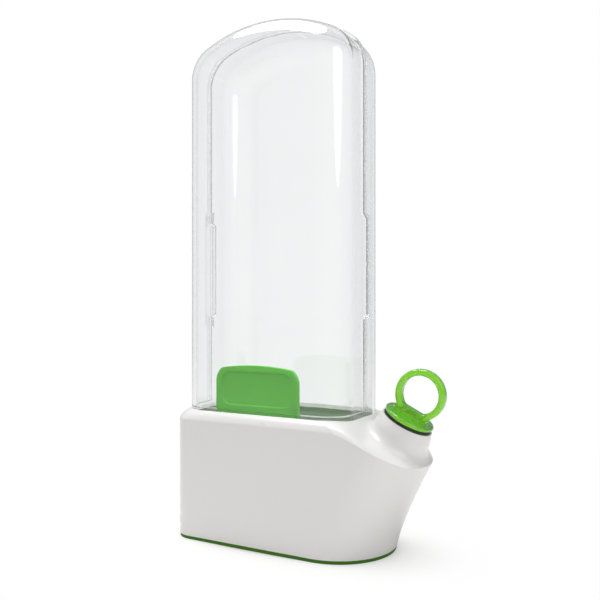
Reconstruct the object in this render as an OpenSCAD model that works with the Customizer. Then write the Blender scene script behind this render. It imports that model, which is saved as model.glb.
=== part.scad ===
// Counter-top herb keeper. A white water base with a leaning nose and a filler spout holds a clear
// pod. The pod's front shell is a door, and a green basket with a lift tab stands inside it.
// Origin on the table under the middle of the pod, +X to the spout, -Y to the front, +Z up.

/* [Pod] */
// Height of the top of the pod above the table
total_h = 290; // [250:1:330]
// Width of the pod
pod_w = 101.6; // [94:0.2:110]
// Depth of the pod, front to back
pod_d = 55.7; // [50:0.1:62]
// Radius of the rounded edge that runs round both shells
edge_r = 15.4; // [12:0.1:17]
// Outline radius of the two shoulders of the pod
shoulder_r = 21.8; // [19:0.1:28]
// Outline radius of the crown between the shoulders
crown_r = 88; // [78:1:110]
// Wall thickness of the clear shells
pod_wall = 2.2; // [1.6:0.1:2.8]
// Height of the lower edge of the pod above the table
pod_low = 14; // [11:0.5:20]

/* [Seam and hinge] */
// How far the seam flange stands out of the shells
flange_proud = 1.6; // [1:0.1:2]
// Thickness of each half of the seam flange
flange_t = 1.3; // [1:0.1:1.8]
// Height where the side tongues of the door begin
tongue_low = 125.8; // [110:0.2:140]
// Length of the side tongues
tongue_l = 52.4; // [40:0.2:64]
// How far the tongues reach back past the seam
tongue_step = 4; // [3:0.1:5]
// Height of the slanted ends of the tongues
tongue_ramp = 2; // [1:0.1:4]
// Gap between the tongues and the notches in the body
tongue_gap = 0.3; // [0.2:0.05:0.6]
// Distance of the hinge axis out from the side of the pod
hinge_out = 3; // [2.8:0.1:3.6]
// Distance of the hinge axis back from the seam
hinge_back = 2.4; // [2.2:0.1:3]
// Radius of the hinge knuckle and of its two bosses
knuckle_r = 2.2; // [2:0.05:2.3]
// Radius of the stub pins on the knuckle
pin_r = 1.15; // [0.9:0.05:1.3]
// Length of the stub pins
pin_l = 6; // [4:0.5:8]
// Radial clearance of the stub pins in their bosses
pin_clearance = 0.05; // [0.02:0.01:0.1]

/* [Base] */
// Width of the rim between the side of the pod and the left wall
rim_side = 3; // [2.6:0.1:6]
// Width of the rim in front of the pod and behind it
rim_front = 5; // [4:0.1:8]
// Height of the rim round the pod
rim_h = 72.3; // [64:0.1:80]
// Height of the rounded shoulder from the crease up to the rim
shoulder_h = 5.3; // [4:0.1:8]
// Corner radius of the left end in plan
base_corner_r = 12; // [8:0.5:16]
// Wall thickness of the base
base_wall = 2.4; // [1.8:0.1:3]
// Centre of the round nose at the table
nose_foot_x = 34.3; // [30:0.1:40]
// How far the nose centre has moved out at the nose height
nose_reach = 18.8; // [12:0.1:22]
// Height at which the nose has its full reach
nose_h = 46; // [40:0.5:52]
// Curve of the leaning nose: 1 leans straight, more flares at the top
nose_curve = 1.3; // [1:0.05:1.6]
// Where the crease starts to fall towards the nose
crease_flat_x = 38; // [30:0.5:46]
// Radius at which the crease starts to fall
crease_r = 53; // [46:1:70]
// Clearance round the pod in the rim
pod_fit = 0.35; // [0.2:0.05:0.6]
// Thickness of the four ribs that guide and carry the pod
rib_t = 2.4; // [1.6:0.1:4]
// Distance of the ribs from the middle of the pod
rib_x = 32; // [20:0.5:36]

/* [Bottom] */
// Thickness of the foot pad that shows under the wall
foot_t = 2; // [1.5:0.1:3]
// How far the foot pad's edge is set in from the wall
foot_inset = 0.4; // [0.2:0.1:1.2]
// Height of the raised middle of the foot pad
plateau_h = 0.6; // [0.3:0.1:1.2]
// Thickness of the reservoir floor
floor_t = 2.4; // [1.6:0.1:3.2]
// Width of the rebate in the wall that takes the floor
rebate_w = 1.2; // [0.8:0.1:1.5]
// Clearance round the floor and the plateau in the rebate
floor_fit = 0.1; // [0.05:0.05:0.3]

/* [Spout] */
// Distance of the mouth's centre from the pod's middle
mouth_x = 75.4; // [72:0.2:78]
// Height of the mouth's centre
mouth_z = 70.4; // [66:0.2:76]
// Lean of the spout away from upright
spout_tilt = 27; // [20:0.5:32]
// Outer radius of the mouth
mouth_r = 14; // [13:0.1:15]
// Radius of the bore that takes the stopper
bore_r = 11.7; // [10.5:0.1:12.2]
// Depth of the straight bore below the mouth
bore_l = 10; // [9:0.5:12]
// Taper of the neck down to its fillet
neck_taper = 1.3; // [0:0.1:2]
// Length of the neck above its fillet
neck_l = 5.3; // [4:0.1:8]
// Radius of the fillet between neck and deck
neck_fillet_r = 11; // [8:0.5:13]

/* [Stopper] */
// Radius of the stopper flange
cap_r = 13.6; // [12.6:0.1:14.6]
// Thickness of the stopper flange
cap_t = 2.8; // [2:0.1:4]
// Thickness of the seal ring
seal_t = 1.2; // [0.8:0.1:2]
// Outer radius of the seal ring
seal_r = 13.2; // [12.2:0.1:13.6]
// Clearance between plug and bore
plug_fit = 0.4; // [0.2:0.05:0.6]
// Length of the plug below the flange
plug_l = 9; // [7:0.5:10.5]
// Wall of the hollow plug
plug_wall = 1.8; // [1.2:0.1:3]
// Outer radius of the pull ring
ring_r = 13.5; // [12:0.1:16]
// Radial thickness of the pull ring
ring_t = 3.5; // [2.5:0.1:4.5]
// Width of the pull ring
ring_w = 5.6; // [4:0.1:8]
// Height of the pull ring's centre above the flange's underside
ring_rise = 14.9; // [14:0.1:18]
// Height of the flat bottom of the ring's hole above the flange's underside
ring_flat = 6.4; // [5:0.1:8]

/* [Basket] */
// Gap between the basket and the sides of the pod
basket_side_gap = 3.6; // [3:0.1:6]
// Gap between the basket and the front and back of the pod
basket_front_gap = 5.85; // [5:0.05:8]
// Corner radius of the basket
basket_r = 12; // [8:0.5:14]
// Height of the basket's wall above the table
basket_top = 60; // [45:1:66]
// Height of the basket's floor above the table
basket_low = 17; // [16:0.5:24]
// Wall thickness of the basket
basket_wall = 1.6; // [1.2:0.1:2.4]
// Width of the slots in the basket's floor and walls
slot_w = 3.2; // [2:0.1:4]
// Distance between the slots
slot_pitch = 9; // [7:0.5:12]
// Radius of the basket's four legs
leg_r = 3; // [2.5:0.1:4]
// Width of the lift tab
tab_w = 52.7; // [40:0.1:60]
// Height of the top of the lift tab above the table
tab_top = 97.7; // [84:0.1:110]
// Thickness of the lift tab
tab_t = 2.8; // [2:0.1:4]
// How far the lift tab stands off the pod's middle line
tab_x = -5.2; // [-8:0.1:8]
// Radius of the upper corners of the lift tab
tab_corner_r = 9.5; // [6:0.5:14]
// Radius of the gentle arch on top of the lift tab
tab_arch_r = 150; // [80:5:300]
// Border round the sunk panel of the lift tab
tab_border = 4; // [3:0.5:6]
// Height of the sunk panel
panel_h = 18.2; // [12:0.1:20]
// Depth of the sunk panel
panel_depth = 0.8; // [0.4:0.1:1.4]

/* [Hidden] */
$fn = 64;
far = 200;
tiny = 0.01;

// Pod: centres of the shoulder and crown arcs, and the heights round the door
crown_lean = asin((pod_w / 2 - shoulder_r) / (crown_r - shoulder_r));
crown_z = total_h - flange_proud - crown_r;
shoulder_z = crown_z + (crown_r - shoulder_r) * cos(crown_lean);
door_low = rim_h + 1.5;
door_gap = 0.5;
tongue_high = tongue_low + tongue_l;

// Hinge: place of the axis and the length of the bosses over and under the knuckle
hinge_x = -pod_w / 2 - hinge_out;
boss_l = pin_l + 2;
boss_gap = 0.3;

// Base: walls in plan and the deck's edge at the pod
base_half = pod_d / 2 + rim_front;
base_left = pod_w / 2 + rim_side;
crease_z = rim_h - shoulder_h;
floor_low = foot_t + plateau_h;
floor_top = floor_low + floor_t;
deck_inset = 1.5;
shoulder_start = 30;
dome_end_x = 80;
dome_start_x = 46;
wall_start_x = nose_foot_x - 6;

// Steps of the lofted base
corner_steps = 5;
wall_steps = 3;
nose_steps = 16;
side_steps = 3;
deck_steps = 6;
inner_side_steps = 2;
inner_deck_steps = 3;
column_steps = 3;
nose_drop = 12;

// Steps of the shells: round each shoulder, over half the crown and round the edge
shoulder_steps = 8;
crown_steps = 8;
edge_steps = 6;

// Basket: outline clear of the inside of the pod
basket_w = pod_w - 2 * (pod_wall + basket_side_gap);
basket_d = pod_d - 2 * (pod_wall + basket_front_gap);

function mix(a, b, t) = a + (b - a) * t;
function clamp01(t) = max(0, min(1, t));
function smooth(t) = t * t * (3 - 2 * t);

// ---- Outline of the base -------------------------------------------------------------------

// Centre of the round nose at a height: it moves out as it rises
function nose_x(z) = nose_foot_x + nose_reach * pow(max(z, 0) / nose_h, nose_curve);

// Height of the crease, flat along the pod and falling over the nose
function crease(x) = crease_z - pow(max(0, x - crease_flat_x), 2) / (2 * crease_r);

// Front half of the base's plan at a height, from the middle of the left end to the nose's tip
function half_plan(z, inset) =
    let (r = base_corner_r - inset, left = base_left - inset, half = base_half - inset)
    concat(
        [[-left, 0]],
        [for (i = [0:corner_steps]) let (a = 180 + 90 * i / corner_steps)
            [-left + r + r * cos(a), -half + r + r * sin(a)]],
        [for (i = [0:wall_steps - 1]) [mix(wall_start_x, nose_x(z), i / wall_steps), -half]],
        [for (i = [0:nose_steps]) let (a = -90 + 90 * i / nose_steps)
            [nose_x(z) + half * cos(a), half * sin(a)]]
    );

// A half plan and its mirror image as one closed ring
function whole(half) =
    concat(half, [for (i = [len(half) - 2:-1:1]) [for (k = [0:len(half[i]) - 1])
        k == 1 ? -half[i][1] : half[i][k]]]);

// Height at which one point of the plan meets the crease, found by stepping closer
function meet_crease(i, inset, z, steps) =
    steps == 0 ? z : meet_crease(i, inset, crease(half_plan(z, inset)[i][0]), steps - 1);

// Point i of the wall at a share f of its height from low up to the crease
function wall_point(i, inset, low, drop, f) =
    let (top = meet_crease(i, inset, nose_h, 8), z = mix(low, top - drop, f), p = half_plan(z, inset)[i])
    [p[0], p[1], z];

// Where a ray from the pod's middle through p leaves a rounded rectangle
function rect_ray(p, hw, hd, r) =
    let (d = [abs(p[0]), abs(p[1])] / norm([p[0], p[1]]),
         q = d * min(hw / max(d[0], tiny), hd / max(d[1], tiny)),
         c = [hw - r, hd - r],
         b = d * c,
         e = q[0] > c[0] && q[1] > c[1] ? d * (b + sqrt(max(0, b * b - c * c + r * r))) : q)
    [sign(p[0]) * e[0], sign(p[1]) * e[1]];

// Point i of the deck at a share u of the way from the crease in to the pod: a round shoulder
// beside the pod that turns into a straight slope over the nose
function deck_point(i, inset, drop, u) =
    let (a = wall_point(i, inset, 0, drop, 1),
         b = rect_ray(a, pod_w / 2 - deck_inset, pod_d / 2 - deck_inset, edge_r - deck_inset),
         angle = mix(shoulder_start, 90, u),
         run = (cos(shoulder_start) - cos(angle)) / cos(shoulder_start),
         rise = (sin(angle) - sin(shoulder_start)) / (1 - sin(shoulder_start)),
         straight = smooth(clamp01((a[0] - dome_start_x) / (dome_end_x - dome_start_x))),
         s = mix(run, u, straight),
         h = mix(rise, u, straight))
    [mix(a[0], b[0], s), mix(a[1], b[1], s), mix(a[2], rim_h - drop, h)];

function reversed(list) = [for (i = [len(list) - 1:-1:0]) list[i]];

// Rings of the wall from a low height up to the crease, and of the deck from there to the pod
function wall_rings(inset, low, drop, steps) = [for (k = [0:steps])
    whole([for (i = [0:count - 1]) wall_point(i, inset, low, drop, k / steps)])];
function deck_rings(inset, drop, steps) = [for (k = [1:steps])
    whole([for (i = [0:count - 1]) deck_point(i, inset, drop, k / steps)])];

// A ring of the foot's plan at another height
function foot_ring(inset, z) = whole([for (p = half_plan(foot_t, inset)) [p[0], p[1], z]]);

// Triangles between ring a and ring b, each of n points
function band(a, b, n) = [for (i = [0:n - 1]) let (j = (i + 1) % n)
    each [[a * n + i, b * n + i, b * n + j], [a * n + i, b * n + j, a * n + j]]];

count = len(half_plan(0, 0));

// The base's walls and deck as one shell, open at the bottom and at the pod: up the outside, over
// the rim, down the inside and round the rebate
module base_shell() {
    outer = concat(wall_rings(0, foot_t, 0, side_steps), deck_rings(0, 0, deck_steps));
    inner = concat(wall_rings(base_wall, floor_top, base_wall, inner_side_steps),
                   deck_rings(base_wall, base_wall, inner_deck_steps));
    rebate = [foot_ring(rebate_w, floor_top), foot_ring(rebate_w, foot_t)];
    rings = concat(outer, reversed(inner), rebate);
    n = len(rings[0]);
    last = len(rings) - 1;
    faces = [for (k = [0:last]) each band(k, (k + 1) % (last + 1), n)];
    polyhedron(points = [for (ring = rings) each ring], faces = faces, convexity = 6);
}

// Upright slice of the base's plan, taken where the wall starts
module plan_slice(inset, low, high) {
    translate([0, 0, low]) linear_extrude(high - low) polygon(whole(half_plan(foot_t, inset)));
}

// The space over the nose that the spout's fillet may fill, above the underside of the deck
module nose_column() {
    tip = wall_point(count - 1, 0, foot_t, 0, 1);
    edge_x = pod_w / 2 - deck_inset;
    slope = atan2(rim_h - tip[2], tip[0] - edge_x);
    heights = [for (k = [0:column_steps]) mix(tip[2] - nose_drop, mouth_z + mouth_r, k / column_steps)];
    rings = [for (z = heights) whole([for (p = half_plan(z, 0)) [p[0], p[1], z]])];
    n = len(rings[0]);
    last = len(rings) - 1;
    middle = (last + 1) * n;
    caps = [for (i = [0:n - 1]) let (j = (i + 1) % n)
        each [[i, j, middle], [last * n + j, last * n + i, middle + 1]]];
    intersection() {
        polyhedron(points = concat([for (ring = rings) each ring], [[0, 0, heights[0]], [0, 0, heights[last]]]),
                   faces = concat([for (k = [0:last - 1]) each band(k, k + 1, n)], caps), convexity = 2);
        translate([edge_x, 0, rim_h]) rotate([0, slope, 0]) translate([-far / 2, -far / 2, -base_wall]) {
            cube(far);
        }
    }
}

// ---- Spout -----------------------------------------------------------------------------------

module at_spout() {
    translate([mouth_x, 0, mouth_z]) rotate([0, spout_tilt, 0]) children();
}

// Neck with a concave fillet at its foot, in the spout's own frame with the lip at z = 0
module neck() {
    neck_r = mouth_r + neck_taper;
    foot_r = neck_r + neck_fillet_r;
    foot_z = -neck_l - neck_fillet_r;
    rotate_extrude() {
        difference() {
            polygon([[0, foot_z - base_wall], [foot_r, foot_z - base_wall], [foot_r, -neck_l],
                     [neck_r, -neck_l], [mouth_r, -1], [mouth_r - 1, 0], [0, 0]]);
            translate([foot_r, -neck_l]) circle(r = neck_fillet_r);
        }
    }
}

// Bore for the stopper that opens out into the reservoir
module neck_bore() {
    flare_r = bore_r + 5.5;
    flare_z = -bore_l - 9;
    rotate_extrude() {
        polygon([[0, flare_z - 3], [flare_r, flare_z - 3], [flare_r, flare_z], [bore_r, -bore_l],
                 [bore_r, -0.8], [bore_r + 0.8, tiny], [bore_r + 0.8, 3], [0, 3]]);
    }
}

// ---- Base ------------------------------------------------------------------------------------

module round_rect(w, d, r) {
    square([w - 2 * r, d], center = true);
    square([w, d - 2 * r], center = true);
    for (x = [-1, 1], y = [-1, 1]) {
        translate([x * (w / 2 - r), y * (d / 2 - r)]) circle(r = r);
    }
}

// One rib on the front wall: a guide beside the pod and a ledge under its edge
module pod_rib() {
    wall_y = base_half - base_wall / 2;
    translate([-rib_t / 2, -wall_y, floor_top]) {
        cube([rib_t, wall_y - pod_d / 2 - pod_fit, crease_z - base_wall - floor_top]);
        cube([rib_t, wall_y - pod_d / 2 + pod_wall, pod_low - floor_top]);
    }
}

module base_housing() {
    color([0.94, 0.94, 0.93]) {
        difference() {
            union() {
                base_shell();
                intersection() {
                    at_spout() neck();
                    nose_column();
                }
            }
            at_spout() neck_bore();
            translate([0, 0, crease_z - 2 * base_wall]) linear_extrude(far) {
                round_rect(pod_w + 2 * pod_fit, pod_d + 2 * pod_fit, edge_r + pod_fit);
            }
        }
        for (x = [-rib_x, rib_x], side = [0, 1]) {
            mirror([0, side, 0]) translate([x, 0, 0]) pod_rib();
        }
    }
}

module reservoir_floor() {
    color([0.9, 0.9, 0.89]) plan_slice(rebate_w + floor_fit, floor_low, floor_top);
}

module foot_pad() {
    color([0.28, 0.55, 0.12]) {
        plan_slice(foot_inset, 0, foot_t);
        plan_slice(rebate_w + floor_fit, foot_t - tiny, floor_low);
    }
}

// ---- Stopper, in the spout's own frame with the flange's underside at z = 0 --------------------

module at_stopper() {
    at_spout() translate([0, 0, seal_t]) children();
}

// Flange with a rounded rim over a hollow plug with two sealing beads
module stopper_turned() {
    plug_r = bore_r - plug_fit;
    bead_r = plug_fit / 2;
    rim_r = cap_t / 2;
    rotate_extrude() {
        square([cap_r - rim_r, cap_t]);
        translate([cap_r - rim_r, rim_r]) circle(r = rim_r);
        polygon([[plug_r - plug_wall, tiny], [plug_r - plug_wall, -plug_l],
                 [plug_r - 0.8, -plug_l], [plug_r, -plug_l + 0.8], [plug_r, tiny]]);
        for (z = [-plug_l + 2.5, -plug_l + 5]) {
            translate([plug_r - tiny, z]) circle(r = bead_r, $fn = 24);
        }
    }
}

// Pull ring whose hole has a flat bottom, standing on the flange
module pull_ring() {
    corner_r = ring_t / 2 - 0.4;
    translate([0, 0, ring_rise]) rotate([90, 0, 0]) {
        rotate_extrude() {
            translate([ring_r - ring_t / 2, 0]) round_rect(ring_t, ring_w, corner_r);
        }
    }
    intersection() {
        translate([0, 0, ring_rise]) rotate([90, 0, 0]) {
            cylinder(r = ring_r - corner_r / 3, h = ring_w - corner_r / 2, center = true);
        }
        translate([-far / 2, -far / 2, cap_t / 2]) cube([far, far, ring_flat - cap_t / 2]);
    }
}

module stopper() {
    color([0.42, 0.78, 0.1, 0.9]) at_stopper() {
        stopper_turned();
        pull_ring();
    }
}

module stopper_seal() {
    color([0.05, 0.06, 0.04]) at_spout() rotate_extrude() {
        translate([bore_r - plug_fit / 2, 0]) square([seal_r - bore_r + plug_fit / 2, seal_t]);
    }
}

// ---- Pod ---------------------------------------------------------------------------------------

// Points of the arch at an inset, up the right side, over the crown and down the left
function arch_points(inset, low) =
    let (side = pod_w / 2 - inset, sx = pod_w / 2 - shoulder_r, sr = shoulder_r - inset,
         cr = crown_r - inset, n = shoulder_steps, m = crown_steps)
    concat(
        [[side, low]],
        [for (i = [0:n]) let (a = (90 - crown_lean) * i / n)
            [sx + sr * cos(a), shoulder_z + sr * sin(a)]],
        [for (i = [1:2 * m - 1]) let (a = mix(90 - crown_lean, 90 + crown_lean, i / (2 * m)))
            [cr * cos(a), crown_z + cr * sin(a)]],
        [for (i = [n:-1:0]) let (a = (90 - crown_lean) * i / n)
            [-sx - sr * cos(a), shoulder_z + sr * sin(a)]],
        [[-side, low]]
    );

// Depth profile of one skin of a shell as [inset, y], from the seam round the edge to the face
function skin(thick) = let (r = edge_r - thick)
    concat([[thick, 0]], [for (k = [0:edge_steps]) let (a = 90 * k / edge_steps)
        [edge_r - r * cos(a), -pod_d / 2 + edge_r - r * sin(a)]]);

// Front half of the clear pod above a height, open towards the seam: an outer and an inner skin
// of arches, joined along the seam and along the lower edge
module front_shell(low) {
    sections = concat(skin(0), skin(pod_wall));
    points = [for (s = sections) for (p = arch_points(s[0], low)) [p[0], s[1], p[1]]];
    n = len(arch_points(0, low));
    m = len(sections) / 2;
    end = n - 1;
    face = (m - 1) * n;
    inside = m * n;
    skins = [for (j = [0:m - 2]) for (i = [0:n - 2]) let (a = j * n + i, b = a + n, c = inside + a, d = c + n)
        each [[b, b + 1, a + 1], [b, a + 1, a], [c, c + 1, d + 1], [c, d + 1, d]]];
    seam = [for (i = [0:n - 2]) each [[i, i + 1, inside + i + 1], [i, inside + i + 1, inside + i]]];
    sill = [for (j = [0:m - 2]) let (a = j * n, b = a + n)
        each [[a, inside + a, inside + b, b],
              [a + end, b + end, inside + b + end, inside + a + end]]];
    flats = [[for (i = [end:-1:0]) face + i],
             [for (i = [0:end]) inside + face + i],
             [face, inside + face, inside + face + end, face + end]];
    polyhedron(points = points, faces = concat(skins, seam, sill, flats), convexity = 4);
}

// Plan of one skin of the whole pod as a closed ring
function plan_ring(thick) =
    let (right = [for (s = skin(thick)) [pod_w / 2 - s[0], s[1]]],
         front = concat(right, [for (p = reversed(right)) [-p[0], p[1]]]))
    concat(front, [for (i = [len(front) - 2:-1:1]) [front[i][0], -front[i][1]]]);

// Points of the arch above the straight sides
function crown_points(inset) = let (all = arch_points(inset, 0)) [for (i = [1:len(all) - 2]) all[i]];

// The seam on the side walls as [y, z] points, with the step of the tongues
function seam_line(gap) = [
    [0, door_low],
    [0, tongue_low - tongue_ramp - gap],
    [tongue_step + gap, tongue_low - gap],
    [tongue_step + gap, tongue_high + gap],
    [0, tongue_high + tongue_ramp + gap],
    [0, shoulder_z]
];

function moved(points, dy) = [for (i = [len(points) - 1:-1:0]) points[i] + [dy, 0]];

// Outline in the plane seen from the side, drawn across a span of x
module side_extrude(x, w, points) {
    translate([x, 0, 0]) rotate([90, 0, 90]) linear_extrude(w) polygon(points);
}

// Tongue or notch of the seam on both side walls
module tongues(gap, x, w) {
    line = seam_line(gap);
    for (side = [0, 1]) {
        mirror([side, 0, 0]) side_extrude(x, w, [for (i = [1:4]) line[i]]);
    }
}

// One half of the seam flange: round the arch, down the right side, and down the left side as
// far as the hinge
module seam_flange(gap, thickness) {
    root = pod_wall / 2;
    line = seam_line(gap);
    band = concat(line, moved(line, thickness));
    side_extrude(pod_w / 2 - root, root + flange_proud, band);
    translate([-pod_w / 2 - flange_proud, min(0, thickness), 0]) {
        translate([0, 0, door_low]) {
            cube([root + flange_proud, flange_t, line[1][1] - door_low]);
        }
        translate([0, 0, line[4][1]]) {
            cube([root + flange_proud, flange_t, shoulder_z - line[4][1]]);
        }
    }
    translate([0, max(0, thickness), 0]) rotate([90, 0, 0]) linear_extrude(flange_t) {
        polygon(concat(crown_points(-flange_proud), reversed(crown_points(root))));
    }
}

module at_hinge(z) {
    translate([hinge_x, hinge_back, z]) children();
}

// Boss over or under the knuckle for its stub pin, joined to the side of the body
module hinge_boss() {
    web_d = 2 * knuckle_r - 0.8;
    difference() {
        union() {
            cylinder(r = knuckle_r, h = boss_l);
            translate([0, -web_d / 2, 0]) {
                cube([hinge_out + pod_wall / 2, web_d, boss_l - tongue_ramp - boss_gap]);
            }
        }
        translate([0, 0, boss_l - pin_l - 0.5]) {
            cylinder(r = pin_r + pin_clearance, h = pin_l + 1);
        }
    }
}

module pod_body() {
    color([0.9, 0.95, 0.95, 0.35]) {
        difference() {
            mirror([0, 1, 0]) front_shell(door_low - door_gap);
            tongues(tongue_gap, pod_w / 2 - 2 * pod_wall, 3 * pod_wall);
        }
        translate([0, 0, pod_low]) linear_extrude(door_low - door_gap - pod_low) difference() {
            polygon(plan_ring(0));
            polygon(plan_ring(pod_wall));
        }
        seam_flange(tongue_gap, flange_t);
        at_hinge(tongue_low - boss_gap - boss_l) hinge_boss();
        at_hinge(tongue_high + boss_gap + boss_l) mirror([0, 0, 1]) hinge_boss();
    }
}

module pod_door() {
    color([0.9, 0.95, 0.95, 0.35]) {
        front_shell(door_low);
        tongues(0, pod_w / 2 - pod_wall, pod_wall);
        seam_flange(0, -flange_t);
        at_hinge(tongue_low) cylinder(r = knuckle_r, h = tongue_l);
        at_hinge(tongue_low - boss_gap - pin_l) {
            cylinder(r = pin_r, h = tongue_l + 2 * (boss_gap + pin_l));
        }
        translate([hinge_x, hinge_back - pin_r, tongue_low]) {
            cube([hinge_out + pod_wall / 2, 2 * pin_r, tongue_l]);
        }
    }
}

// ---- Basket ------------------------------------------------------------------------------------

// Upright tab with round upper corners and a gentle arch on top, drawn as its front outline
module tab_outline(w, low, high) {
    intersection() {
        union() {
            translate([-w / 2, low]) square([w, high - tab_corner_r - low]);
            translate([-w / 2 + tab_corner_r, low]) square([w - 2 * tab_corner_r, high - low]);
            for (x = [-1, 1]) {
                translate([x * (w / 2 - tab_corner_r), high - tab_corner_r]) {
                    circle(r = tab_corner_r);
                }
            }
        }
        translate([0, high - tab_arch_r]) circle(r = tab_arch_r, $fn = 256);
    }
}

module lift_tab() {
    front = -basket_d / 2;
    panel_top = tab_top - tab_border;
    translate([tab_x, front + tab_t, 0]) rotate([90, 0, 0]) difference() {
        linear_extrude(tab_t) tab_outline(tab_w, basket_top - 4, tab_top);
        translate([0, panel_top - panel_h / 2, tab_t - panel_depth]) linear_extrude(far) {
            round_rect(tab_w - 2 * tab_border, panel_h, tab_corner_r - tab_border);
        }
    }
}

module slot(l) {
    square([slot_w, l - slot_w], center = true);
    for (y = [-1, 1]) {
        translate([0, y * (l - slot_w) / 2]) circle(d = slot_w);
    }
}

module herb_basket() {
    floor_slot_l = basket_d * 0.34;
    wall_slot_l = (basket_top - basket_low) * 0.62;
    columns = floor((basket_w / 2 - basket_r) / slot_pitch);
    color([0.36, 0.68, 0.18]) {
        difference() {
            translate([0, 0, basket_low]) linear_extrude(basket_top - basket_low) {
                round_rect(basket_w, basket_d, basket_r);
            }
            translate([0, 0, basket_low + basket_wall]) linear_extrude(far) {
                round_rect(basket_w - 2 * basket_wall, basket_d - 2 * basket_wall,
                           basket_r - basket_wall);
            }
            for (i = [-columns:columns]) {
                for (y = [-1, 1]) {
                    translate([i * slot_pitch, y * basket_d / 4.4, basket_low - 1]) {
                        linear_extrude(basket_wall + 2) slot(floor_slot_l);
                    }
                }
                translate([i * slot_pitch, 0, mix(basket_low, basket_top, 0.5)]) rotate([90, 0, 0]) {
                    linear_extrude(2 * basket_d, center = true) slot(wall_slot_l);
                }
            }
        }
        for (x = [-1, 1], y = [-1, 1]) {
            translate([x * (basket_w / 2 - basket_r), y * (basket_d / 2 - basket_r / 2), floor_top]) {
                cylinder(r = leg_r, h = basket_low + basket_wall - floor_top);
            }
        }
        lift_tab();
    }
}

base_housing();
reservoir_floor();
foot_pad();
stopper();
stopper_seal();
pod_body();
pod_door();
herb_basket();
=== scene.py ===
"""Counter-top herb keeper, dressed for rendering.

A white water base with a leaning nose and a filler spout carries a clear pod. The pod's front shell
swings on a hinge on the left, and a green slotted basket with a lift tab stands inside it. Sizes are
in metres; +X runs to the spout, -Y to the front and +Z up.
"""

from collections import namedtuple
from contextlib import contextmanager
from math import acos, asin, atan2, copysign, cos, hypot, pi, radians, sin, sqrt

import bmesh
import bpy
from bpy.props import FloatProperty, FloatVectorProperty, IntProperty, PointerProperty
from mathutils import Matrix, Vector
from mathutils.bvhtree import BVHTree


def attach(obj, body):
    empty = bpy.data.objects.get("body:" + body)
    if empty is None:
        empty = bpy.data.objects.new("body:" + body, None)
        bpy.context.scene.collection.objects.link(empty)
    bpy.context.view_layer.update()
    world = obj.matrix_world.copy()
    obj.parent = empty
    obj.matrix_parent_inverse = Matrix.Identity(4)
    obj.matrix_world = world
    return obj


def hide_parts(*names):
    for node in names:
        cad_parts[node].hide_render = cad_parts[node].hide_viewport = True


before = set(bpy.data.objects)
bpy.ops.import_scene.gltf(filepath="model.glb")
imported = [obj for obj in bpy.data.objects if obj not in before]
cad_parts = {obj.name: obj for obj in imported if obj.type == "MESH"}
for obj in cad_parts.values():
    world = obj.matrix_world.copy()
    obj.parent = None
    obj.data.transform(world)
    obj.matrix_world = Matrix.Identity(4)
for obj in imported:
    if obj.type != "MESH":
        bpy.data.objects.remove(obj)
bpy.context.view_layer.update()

bl_info = {
    "name": "Herb keeper",
    "version": (1, 0, 0),
    "blender": (4, 5, 0),
    "location": "3D View > Sidebar > Keeper",
    "description": "Builds a clear herb keeper with its water base, door, basket and stopper",
    "category": "Add Mesh",
}

MM = 0.001
MERGE_DISTANCE = 0.00001
SHARP = radians(35)
CORNER_SHARP = radians(50)
TINY = 1e-6
FAR = 0.2


def offset(description, millimetres):
    return FloatProperty(description=description, default=millimetres * MM, unit="LENGTH", precision=4)


def length(description, millimetres):
    return FloatProperty(description=description, default=millimetres * MM, unit="LENGTH", min=0.0,
                         precision=4)


def number(description, value):
    return FloatProperty(description=description, default=value)


def angle(description, degrees):
    return FloatProperty(description=description, default=radians(degrees), subtype="ANGLE")


def colour(description, *tone):
    return FloatVectorProperty(description=description, default=tone, subtype="COLOR", min=0.0, max=1.0)


def titled(settings):
    """Title each setting of a group after its own name."""
    for key, setting in settings.__annotations__.items():
        setting.keywords["name"] = key.replace("_", " ").title()
    return settings


# ---- Settings ----


@titled
class KeeperPodSettings(bpy.types.PropertyGroup):
    height: length("Top of the pod above the table", 290)
    width: length("Width of the pod", 101.6)
    depth: length("Depth of the pod from front to back", 55.7)
    edge_radius: length("Radius of the rounded edge round both shells", 15.4)
    shoulder_radius: length("Outline radius of the two shoulders", 21.8)
    crown_radius: length("Outline radius of the crown", 88)
    wall: length("Wall thickness of the clear shells", 2.2)
    low: length("Height of the skirt's lower edge", 14)
    door_low: length("Height of the door's lower edge", 73.8)
    door_gap: length("Gap under the door", 0.5)
    flange_proud: length("How far the seam flange stands out", 1.6)
    flange_thickness: length("Thickness of each half of the flange", 1.3)
    tongue_low: length("Height where the side tongues begin", 125.8)
    tongue_length: length("Length of the side tongues", 52.4)
    tongue_step: length("How far the tongues reach back past the seam", 4)
    tongue_ramp: length("Height of the slanted ends of the tongues", 2)
    tongue_gap: length("Gap between tongue and notch", 0.3)
    hinge_out: length("Distance of the hinge axis from the side of the pod", 3)
    hinge_back: length("Distance of the hinge axis behind the seam", 2.4)
    knuckle_radius: length("Radius of the hinge knuckle", 2.2)
    pin_radius: length("Radius of the hinge pins", 1.15)
    pin_length: length("Length of the hinge pins", 6)
    pin_clearance: length("Radial clearance of the hinge pins", 0.05)
    tint: colour("Colour of the clear plastic seen straight on", 0.97, 0.98, 0.98)
    # Painted shade: grey along the clear plastic's edges stands in for the darker surroundings seen in them.
    edge_tint: colour("Colour of the clear plastic along its edges", 0.52, 0.53, 0.55)


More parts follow.
